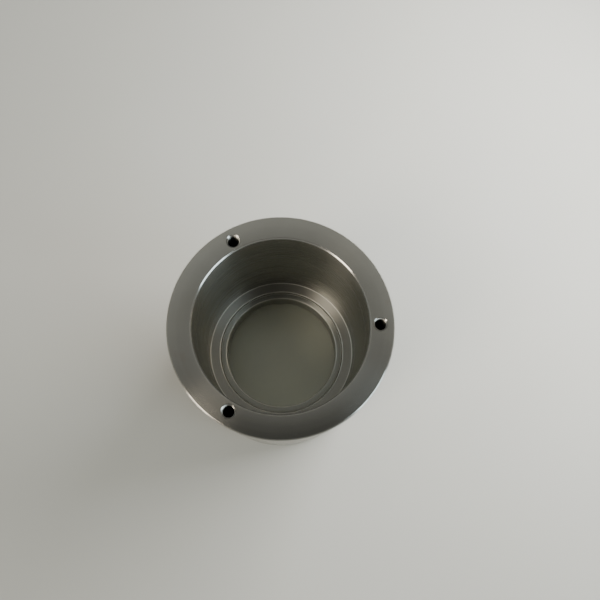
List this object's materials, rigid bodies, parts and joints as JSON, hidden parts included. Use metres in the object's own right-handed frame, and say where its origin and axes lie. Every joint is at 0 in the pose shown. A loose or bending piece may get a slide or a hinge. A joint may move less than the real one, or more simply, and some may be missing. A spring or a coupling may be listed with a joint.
{
  "type": "laser collimator",
  "caption": "Open turned steel barrel of a laser collimator: deep bore with an inner ledge, focusing lens cell, adjusting ring, rear plate with window, tapped holes in the rim.",
  "frame": {"origin": "centre of the flat base that the collimator stands on", "axes": "+Z along the optical axis from the base to the open rim; +X through the first tapped hole of the rim"},
  "size_m": [0.064, 0.064, 0.076],
  "materials": {
    "turned_steel": "lathe-turned satin",
    "cell_steel": "fine-turned satin",
    "lens_glass": "polished, coated",
    "window_glass": "polished",
    "black_aluminium": "matt black anodised",
    "seal_rubber": "matt",
    "spring_steel": "bright",
    "screw_steel": "dark oxide",
    "ring_brass": "turned"
  },
  "bodies": {
    "barrel": {"barrel": "turned_steel", "wave_spring": "spring_steel", "guide_screw": "screw_steel", "locking_pads": "ring_brass", "locking_screws": "screw_steel", "rear_plate": "turned_steel", "plate_o_ring": "seal_rubber", "plate_screws": "screw_steel", "window_seal": "seal_rubber", "protective_window": "window_glass", "window_retaining_ring": "black_aluminium"},
    "cell": {"lens_cell": "cell_steel", "upper_lens": "lens_glass", "lens_spacer": "black_aluminium", "lower_lens": "lens_glass", "lens_seal": "seal_rubber", "lens_retaining_ring": "black_aluminium", "cell_o_ring": "seal_rubber", "thrust_washer": "spring_steel"},
    "ring": {"adjusting_ring": "ring_brass"}
  },
  "joints": [
    {"name": "focus_slide", "type": "slide", "parent": "barrel", "child": "cell", "axis": [0, 0, 1], "range_m": [-0.00061, 0.00061], "deforming": ["wave_spring"]},
    {"name": "ring_turn", "type": "hinge", "parent": "cell", "child": "ring", "pos_m": [0, 0, 0.0128], "axis": [0, 0, 1], "range_deg": [-288, 288]}
  ],
  "couplings": [
    {"joint": "focus_slide", "follows": "ring_turn", "m_per_rad": 0.00011937}
  ]
}
